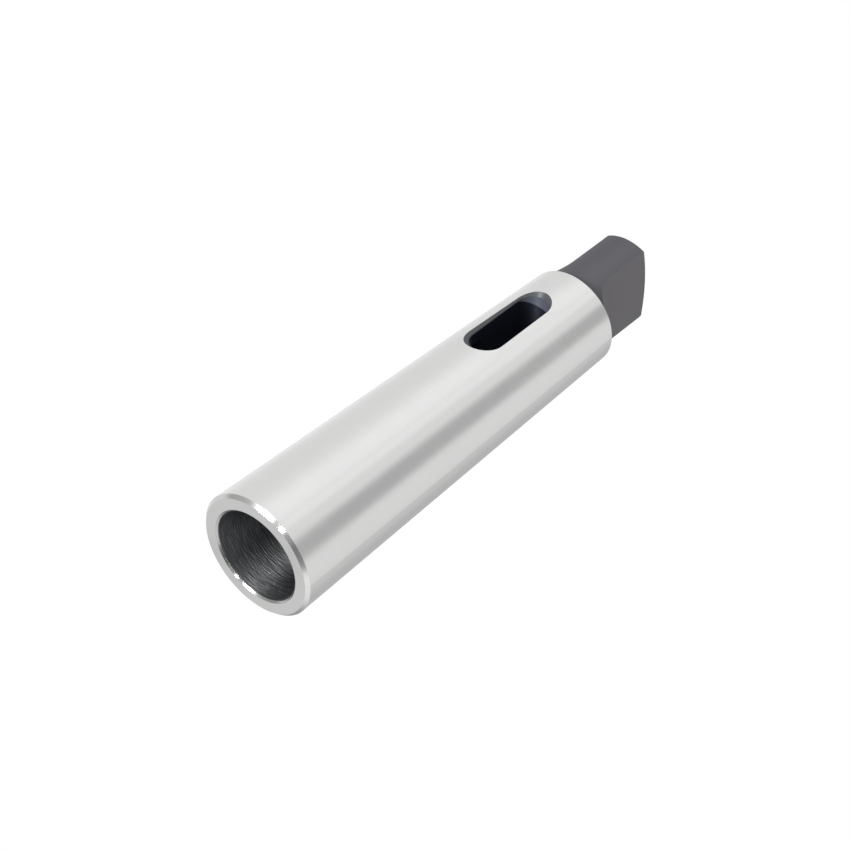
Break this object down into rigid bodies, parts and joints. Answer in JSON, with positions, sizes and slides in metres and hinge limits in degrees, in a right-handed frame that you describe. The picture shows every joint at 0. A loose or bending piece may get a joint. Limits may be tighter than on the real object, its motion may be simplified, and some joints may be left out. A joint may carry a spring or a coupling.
{
  "type": "morse taper sleeve",
  "caption": "One-piece reduction sleeve: ground taper outside, tapered socket inside, drift slot through the wall and a flat-sided tang at the small end.",
  "frame": {"origin": "centre of the mouth face, at the large end, on which the sleeve stands", "axes": "+Z along the sleeve's axis from the mouth to the tang, Y through the drift slot, X square to the tang's flats"},
  "size_m": [0.0324, 0.0324, 0.14],
  "materials": {
    "steel": "ground bright on the taper and mouth, black oxide on the tang and in the slot"
  },
  "bodies": {
    "root": {"taper_sleeve": "steel"}
  },
  "joints": []
}
